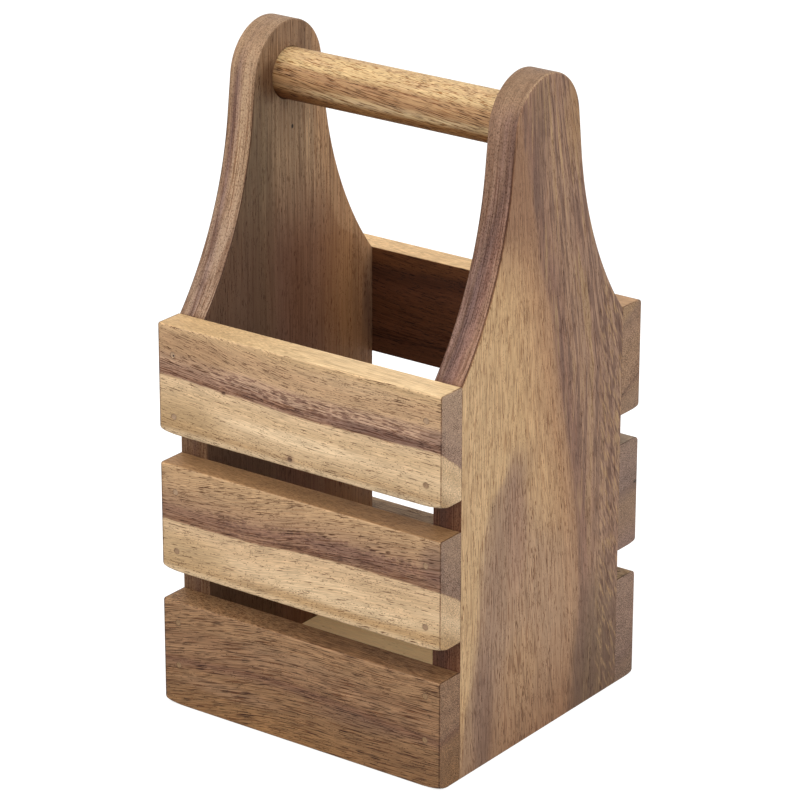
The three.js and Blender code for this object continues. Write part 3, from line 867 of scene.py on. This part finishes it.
def handle_wood():
    """The handle's golden wood, with slanting dashes of open pores and painted shade underneath."""
    low = HANDLE_LOW
    w = Timber("Handle acacia", (0, low.x, 1), (2, low.z, 1), (1, low.y, 1), 77.7, wander=1.5)
    tilt = -0.10
    layer = w.span(w.noise(w.stretched(90, 5, tilt=tilt, shift=2)), 0.35, 0.65)
    color = w.ramp(layer, [(0.0, "#d0b487"), (0.4, "#ccaf84"), (0.6, "#c6a780"), (1.0, "#d4b88c")])
    color = w.tinted(color, w.span(w.v, 13, 15), "#f2ece2")
    color = w.tinted(color, w.stripe(w.v, 11.5, 1.8, 2.8), "#d0bbad")
    # Painted shade: darker along the underside, and more so near the left panel, where the wood is
    # darker too.
    color = w.tinted(color, w.span(w.v, 7.0, 4.2), "#bda084")
    color = w.tinted(color, w.times(w.span(w.u, 46, 4), w.span(w.v, 12, 6)), "#a88c76")
    dashes = w.times(w.clumps(24, 4, 0.5, 1.2), w.span(w.v, 17, 13, 0.5, 1.0))
    pores = w.most(w.pores(7.5, 0.34, 0.42, dashes, tilt=tilt),
                   w.pores(14, 0.34, 0.4, w.times(dashes, 0.8), tilt=tilt, shift=9))
    return w.oiled(color, pores, w.lines(14, 0.34, tilt=tilt), streak=0.03, mottle=0.02, fibre=0.22,
                   fibre_length=12, tilt=tilt, pore_tint="#5f402e", line_tint="#b0906f")


def base_wood(shape):
    """The bottom board's pale, even wood, its tones raised as painted light for the board seen between
    the slats.
    """
    w = Timber("Base wood", (0, BASE_LOW.x, 1), (1, BASE_LOW.y, 1), (2, BASE_HIGH.z, -1), 91.3)
    layer = w.span(w.noise(w.stretched(110, 8, shift=1)), 0.35, 0.65)
    color = w.ramp(layer, [(0.0, shape.first_tone), (0.5, shape.pale_tone), (1.0, shape.dark_tone)])
    pores = w.pores(5, 0.7, 0.25, 0.6)
    return w.oiled(color, pores, streak=0.04, mottle=0.03, fibre=0.12, pore_tint="#c4b0a0")


def filler_paste(shape):
    """Putty over a nail: pinkish, grainy and a little uneven from one nail to the next."""
    w = Timber("Wood filler", (0, 0, 1), (2, 0, 1), (1, 0, 1), 5.5)
    tint = w.span(w.noise(w.stretched(23, 17)), 0.35, 0.65)
    color = w.mix(tint, paint(shape.dark_tone), paint(shape.pale_tone))
    grain = w.noise(w.stretched(0.3, 0.3), detail=3)
    color = w.over(color, w.span(w.v, 50, 44), "#90704f")
    color = w.scaled(color, w.span(grain, 0.3, 0.7, 0.75, 1.1))
    nail = nail_seat("front_top_left_upper")[2].translation / MM
    hollow = w.spot(nail.x + 0.3, nail.z - 0.2, 0.6, 0.5)
    color = w.over(color, w.times(hollow, w.math("LESS_THAN", w.d, 0)), "#2c1a10")
    return w.close(color, 0.7, grain, 0.05 * MM, 0.4)


def brad_steel(steel):
    """Drawn wire with fine lines round its draw and a trace of tarnish."""
    w = Timber("Drawn brad steel", (1, 0, 1), (0, 0, 1), (2, 0, 1), 8.8)
    lines = w.noise(w.stretched(9, 0.12), detail=3)
    color = w.mix(w.span(lines, 0.35, 0.65), paint(steel.dark_tone), paint(steel.pale_tone))
    tarnish = w.span(w.noise(w.stretched(3, 3, shift=4), detail=3), 0.5, 0.7, 0.0, 0.5)
    color = w.over(color, tarnish, steel.tarnish_tone)
    return w.close(color, w.span(lines, 0.3, 0.7, 0.28, 0.42), lines, 0.02 * MM, 0.3, metallic=1.0)


class HolderOperator:
    bl_options = {"REGISTER", "UNDO"}


class HOLDER_OT_end_panels(HolderOperator, bpy.types.Operator):
    """Shape both bell-shaped end panels"""

    bl_idname = "holder.end_panels"
    bl_label = "End Panels"

    def execute(self, context):
        shape = context.scene.holder_panel
        for end, sign in (("left", -1), ("right", 1)):
            node = f"{end}_end_panel"
            low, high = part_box(node)
            outer, inner = (low.x, high.x) if sign < 0 else (high.x, low.x)
            piece = as_object(f"{end}_panel_board", bell_board(shape, outer, inner))
            nails = [nail_hole(place) for place in nail_places(end=end)]
            cut(piece, [socket(shape, inner, sign), base_groove(inner, sign), *nails])
            finish_piece(piece, panel_wood(end), node)
        return {"FINISHED"}


def bell_board(shape, outer, inner):
    """An end panel without its cuts: half of the outline is drawn, mirrored, filled and thickened."""
    handle_height = (HANDLE_LOW.z + HANDLE_HIGH.z) / 2
    taper = shape.neck_taper
    crown = Vector((inner, 0, handle_height))
    outward = Vector((0, math.cos(taper), math.sin(taper)))
    down = Vector((0, math.sin(taper), -math.cos(taper)))
    neck_foot = crown + outward * shape.crown_radius + down * shape.neck_straight
    shoulder = Vector((inner, PANEL_HIGH.y, shape.shoulder_height))
    reach = shoulder - neck_foot
    flare_radius = reach.length_squared / (2 * reach.dot(outward))
    flare = neck_foot + outward * flare_radius
    foot_angle = math.pi + taper
    shoulder_angle = math.atan2(shoulder.z - flare.z, shoulder.y - flare.y) % math.tau

    form = bmesh.new()
    tip = form.verts.new(crown + Vector((0, 0, shape.crown_radius)))
    tip = spin_on(form, tip, crown, taper - math.pi / 2, CROWN_STEPS)
    tip = draw_to(form, tip, neck_foot)
    tip = spin_on(form, tip, flare, shoulder_angle - foot_angle, FLARE_STEPS)
    tip = draw_to(form, tip, Vector((inner, PANEL_HIGH.y, PANEL_LOW.z)))
    draw_to(form, tip, Vector((inner, 0, PANEL_LOW.z)))
    bmesh.ops.mirror(form, geom=form.verts[:] + form.edges[:], matrix=Matrix.Identity(4),
                     merge_dist=TINY, axis="Y")
    bmesh.ops.remove_doubles(form, verts=form.verts, dist=TINY)
    bmesh.ops.contextual_create(form, geom=form.edges[:])
    grown = bmesh.ops.extrude_face_region(form, geom=form.faces[:])["geom"]
    moved = [v for v in grown if isinstance(v, bmesh.types.BMVert)]
    bmesh.ops.translate(form, verts=moved, vec=(outer - inner, 0, 0))
    bmesh.ops.recalc_face_normals(form, faces=form.faces)
    for x, arris, segments in ((outer, shape.outer_arris, 6), (inner, shape.inner_arris, 3)):
        bell = [e for e in edges_at(form, 0, x)
                if max(v.co.z for v in e.verts) > shape.shoulder_height + TINY]
        round_over(form, bell, arris, segments)
    round_over(form, edges_at(form, 2, PANEL_LOW.z), shape.foot_arris, 2)
    return form


def spin_on(form, tip, centre, angle, steps):
    """Draws an arc on from a vertex, and gives the vertex at its end."""
    spun_geom = bmesh.ops.spin(form, geom=[tip], cent=centre, axis=(1, 0, 0), angle=angle, steps=steps,
                               use_duplicate=False)["geom_last"]
    return next(v for v in spun_geom if isinstance(v, bmesh.types.BMVert))


def draw_to(form, tip, target):
    """Draws a straight line on from a vertex, and gives the vertex at its end."""
    new = bmesh.ops.extrude_vert_indiv(form, verts=[tip])["verts"][0]
    bmesh.ops.translate(form, verts=[new], vec=target - new.co)
    return new


def socket(shape, inner, sign):
    """The blind hole that the handle's end sits in, with a slightly eased mouth."""
    radius = (HANDLE_HIGH.y - HANDLE_LOW.y) / 2 + shape.socket_clearance
    depth = HANDLE_HIGH.x + shape.socket_clearance - abs(inner)
    mouth = shape.socket_mouth
    profile = [(0, -CUT_OVERRUN), (radius + mouth, -CUT_OVERRUN), (radius + mouth, 0), (radius, mouth),
               (radius, depth), (0, depth)]
    centre = (HANDLE_LOW.z + HANDLE_HIGH.z) / 2
    place = Matrix.Translation((inner, 0, centre)) @ Matrix.Rotation(sign * math.pi / 2, 4, "Y")
    return spun(profile, SOCKET_SIDES, place)


def base_groove(inner, sign):
    """The slot that the bottom board's end sits in, open at the panel's two long edges."""
    ends = sorted((inner - sign * CUT_OVERRUN, sign * (BASE_HIGH.x + GLUE_LINE)))
    low = Vector((ends[0], PANEL_LOW.y - CUT_OVERRUN, BASE_LOW.z))
    high = Vector((ends[1], PANEL_HIGH.y + CUT_OVERRUN, BASE_HIGH.z + GLUE_LINE))
    return block(low, high)


class HOLDER_OT_handle(HolderOperator, bpy.types.Operator):
    """Turn the round handle"""

    bl_idname = "holder.handle"
    bl_label = "Handle"

    def execute(self, context):
        shape = context.scene.holder_handle
        radius = (HANDLE_HIGH.y - HANDLE_LOW.y) / 2
        end = HANDLE_HIGH.x
        ease = shape.end_chamfer
        profile = [(0, -end), (radius - ease, -end), (radius, ease - end), (radius, end - ease),
                   (radius - ease, end), (0, end)]
        centre = (HANDLE_LOW + HANDLE_HIGH) / 2
        place = Matrix.Translation(centre) @ Matrix.Rotation(math.pi / 2, 4, "Y")
        piece = as_object("handle_rod", spun(profile, shape.sides, place))
        finish_piece(piece, handle_wood(), "handle_dowel")
        return {"FINISHED"}


class HOLDER_OT_base(HolderOperator, bpy.types.Operator):
    """Lay the bottom board in its grooves"""

    bl_idname = "holder.base"
    bl_label = "Bottom Board"

    def execute(self, context):
        shape = context.scene.holder_base
        form = block(BASE_LOW, BASE_HIGH)
        round_over(form, form.edges[:], shape.arris, 2)
        piece = as_object("base_sheet", form)
        finish_piece(piece, base_wood(shape), "base_board")
        return {"FINISHED"}


class HOLDER_OT_slats(HolderOperator, bpy.types.Operator):
    """Plane the six slats and round their edges"""

    bl_idname = "holder.slats"
    bl_label = "Slats"

    def execute(self, context):
        shape = context.scene.holder_slat
        for side in SIDES:
            for row in ROWS:
                node = f"{side}_slat_{row}"
                form = slat_board(shape, *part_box(node), outward=-1 if side == "front" else 1)
                piece = as_object(f"{side}_board_{row}", form)
                cut(piece, [nail_hole(place) for place in nail_places(side=side, row=row)])
                finish_piece(piece, slat_wood(side, row), node)
        return {"FINISHED"}


def slat_board(shape, low, high, outward):
    """A slat without its nail holes, its edges rounded and its lower corners worn."""
    form = block(low, high)
    rear = outward > 0
    outer, inner = (high.y, low.y) if rear else (low.y, high.y)
    upper_arris = shape.rear_upper_arris if rear else shape.upper_arris
    arrises = ((outer, low.z, shape.lower_arris, 8), (outer, high.z, upper_arris, 6),
               (inner, low.z, shape.inner_arris, 3), (inner, high.z, shape.inner_arris, 3))
    for y, z, radius, segments in arrises:
        long_edge = [e for e in edges_at(form, 1, y) if all(abs(v.co.z - z) < TINY for v in e.verts)]
        round_over(form, long_edge, radius, segments)
    for x in (low.x, high.x):
        round_over(form, edges_at(form, 0, x), shape.end_arris, 2)
    dub_corners(form, shape, low, high, outer, outward)
    return form


# Where a board is sliced before its corners are worn, as shares of how far the wear runs
SLICES_ALONG = (0.02, 0.05, 0.1, 0.17, 0.26, 0.38, 0.55, 0.78, 1)
SLICES_INWARD = (0.25, 0.45, 0.7, 1)


def dub_corners(form, shape, low, high, outer, outward):
    """Wears off the two lower corners at the slat's face, after slicing the board finely there."""
    for share in SLICES_ALONG:
        for x in (low.x + share * shape.dub_length, high.x - share * shape.dub_length):
            slice_across(form, Vector((x, 0, 0)), Vector((1, 0, 0)))
    for share in SLICES_INWARD:
        slice_across(form, Vector((0, outer - outward * share * shape.dub_depth, 0)), Vector((0, 1, 0)))
    height = shape.rear_dub_height if outward > 0 else shape.dub_height
    for vert in form.verts:
        from_end = min(vert.co.x - low.x, high.x - vert.co.x) / shape.dub_length
        from_face = abs(outer - vert.co.y) / shape.dub_depth
        if vert.co.z < (low.z + high.z) / 2 and from_end < 1 and from_face < 1:
            fall = 1 - math.sqrt(1 - (1 - max(from_end, 0)) ** 2)
            vert.co.z += height * fall * (1 - from_face) ** 2


def slice_across(form, place, normal):
    bmesh.ops.bisect_plane(form, geom=form.verts[:] + form.edges[:] + form.faces[:], dist=TINY,
                           plane_co=place, plane_no=normal)


class HOLDER_OT_fillers(HolderOperator, bpy.types.Operator):
    """Press the filler over each nail"""

    bl_idname = "holder.fillers"
    bl_label = "Nail Fillers"

    def execute(self, context):
        shape = context.scene.holder_filler
        paste = filler_paste(shape)
        dish, rim = shape.dish, shape.rim
        for place in nail_places():
            radius, depth, seat = nail_seat(place)
            profile = [(0, -dish), (0.55 * radius, -1.1 * dish), (radius - rim, -0.6 * dish),
                       (radius - 0.4 * rim, 0), (radius, -0.3 * rim), (radius, -depth), (0, -depth)]
            piece = as_object(f"nail_plug_{place}", spun(profile, NAIL_SIDES, seat))
            finish_piece(piece, paste, f"filler_{place}")
        return {"FINISHED"}


class HOLDER_OT_brads(HolderOperator, bpy.types.Operator):
    """Give the hidden brads their drawn steel"""

    bl_idname = "holder.brads"
    bl_label = "Brads"

    def execute(self, context):
        steel = brad_steel(context.scene.holder_brad)
        for place in nail_places():
            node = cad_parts[f"brad_{place}"]
            node.data.materials.clear()
            node.data.materials.append(steel)
        return {"FINISHED"}


CAMERA_PLACE = (0.78775, -1.07533, 0.63301)
CAMERA_TURN = tuple(math.radians(a) for a in (68.75498, -0.12216, 36.29637))
CAMERA_LENS = 177.21
CAMERA_SENSOR = 36
FLOOR_REACH = 6
FLOOR_DROP = 0.05 * MM
FLOOR_GLOW = 0.8
WHITE = (1, 1, 1, 1)

# Each softbox's name, place and width, with the setting that holds its power
LAMPS = (
    ("top softbox", (-0.1, -0.1, 1.4), 1.4, "top_power"),
    ("front softbox", (-0.6, -1.25, 0.95), 1.5, "front_power"),
    ("side softbox", (1.35, -0.4, 0.9), 1.4, "side_power"),
)
LAMPS_AIM = Vector((0, 0, 0.12))


class HOLDER_OT_studio(HolderOperator, bpy.types.Operator):
    """Lay the floor, set the lamps and place the camera"""

    bl_idname = "holder.studio"
    bl_label = "Studio"

    def execute(self, context):
        scene = context.scene
        light = scene.holder_light
        scene.view_settings.view_transform = "Standard"
        lay_floor(light)
        fill_sky(light)
        for name, place, width, setting in LAMPS:
            hang_lamp(name, Vector(place), width, getattr(light, setting))
        lens = bpy.data.cameras.new("camera")
        lens.lens = CAMERA_LENS
        lens.sensor_width = CAMERA_SENSOR
        camera = bpy.data.objects.new("camera", lens)
        camera.location = CAMERA_PLACE
        camera.rotation_euler = CAMERA_TURN
        scene.collection.objects.link(camera)
        scene.camera = camera
        return {"FINISHED"}


def seen_by(w, *rays):
    """1 for these kinds of ray and 0 for all others."""
    path = w.node("ShaderNodeLightPath").outputs
    seen = path[f"Is {rays[0]} Ray"]
    for ray in rays[1:]:
        seen = w.most(seen, path[f"Is {ray} Ray"])
    return seen


def lay_floor(light):
    """A grey floor that looks brighter to the camera than the light it throws back."""
    form = bmesh.new()
    bmesh.ops.create_grid(form, x_segments=1, y_segments=1, size=FLOOR_REACH)
    bmesh.ops.translate(form, verts=form.verts, vec=(0, 0, -FLOOR_DROP))
    floor = as_object("floor", form)
    w = Wiring(bpy.data.materials.new("pale floor"))
    sheet = w.node("ShaderNodeBsdfDiffuse", Color=paint(light.floor_color)).outputs[0]
    glow = w.node("ShaderNodeEmission", Color=WHITE, Strength=FLOOR_GLOW).outputs[0]
    lit = w.fed("ShaderNodeAddShader", sheet, glow)
    seen = seen_by(w, "Camera", "Glossy", "Transmission")
    floor.data.materials.append(w.finished(w.fed("ShaderNodeMixShader", seen, sheet, lit)))


def fill_sky(light):
    """Even light from all round, which looks white to the camera."""
    w = Wiring(bpy.data.worlds.new("studio"))
    even = w.node("ShaderNodeBackground", Color=WHITE, Strength=light.sky_strength).outputs[0]
    white = w.node("ShaderNodeBackground", Color=WHITE, Strength=1.0).outputs[0]
    shade = w.fed("ShaderNodeMixShader", seen_by(w, "Camera", "Glossy"), even, white)
    bpy.context.scene.world = w.finished(shade, "ShaderNodeOutputWorld")


def hang_lamp(name, place, width, energy):
    """A square softbox that faces the middle of the holder."""
    lamp = bpy.data.lights.new(name, "AREA")
    lamp.size = width
    lamp.energy = energy
    holder = bpy.data.objects.new(name, lamp)
    holder.location = place
    holder.rotation_euler = (LAMPS_AIM - place).to_track_quat("-Z", "Y").to_euler()
    bpy.context.scene.collection.objects.link(holder)


OPERATORS = (
    HOLDER_OT_end_panels,
    HOLDER_OT_handle,
    HOLDER_OT_base,
    HOLDER_OT_slats,
    HOLDER_OT_fillers,
    HOLDER_OT_brads,
    HOLDER_OT_studio,
)
SETTINGS = {
    "holder_panel": PanelShape,
    "holder_slat": SlatShape,
    "holder_handle": HandleShape,
    "holder_base": BaseShape,
    "holder_filler": FillerShape,
    "holder_brad": BradSteel,
    "holder_light": StudioLight,
}


class HOLDER_PT_sidebar(bpy.types.Panel):
    bl_idname = "HOLDER_PT_sidebar"
    bl_label = "Cutlery Holder"
    bl_space_type = "VIEW_3D"
    bl_region_type = "UI"
    bl_category = "Holder"

    def draw(self, context):
        for operator in OPERATORS:
            self.layout.operator(operator.bl_idname)
        for group in SETTINGS:
            settings = getattr(context.scene, group)
            box = self.layout.box()
            for name in settings.__annotations__:
                box.prop(settings, name)


CLASSES = (*SETTINGS.values(), *OPERATORS, HOLDER_PT_sidebar)


def register():
    for cls in CLASSES:
        bpy.utils.register_class(cls)
    for name, group in SETTINGS.items():
        setattr(bpy.types.Scene, name, PointerProperty(type=group))


def unregister():
    for name in SETTINGS:
        delattr(bpy.types.Scene, name)
    for cls in reversed(CLASSES):
        bpy.utils.unregister_class(cls)


def main():
    register()
    bpy.ops.holder.end_panels()
    bpy.ops.holder.handle()
    bpy.ops.holder.base()
    bpy.ops.holder.slats()
    bpy.ops.holder.fillers()
    bpy.ops.holder.brads()
    bpy.ops.holder.studio()


if __name__ == "__main__":
    main()
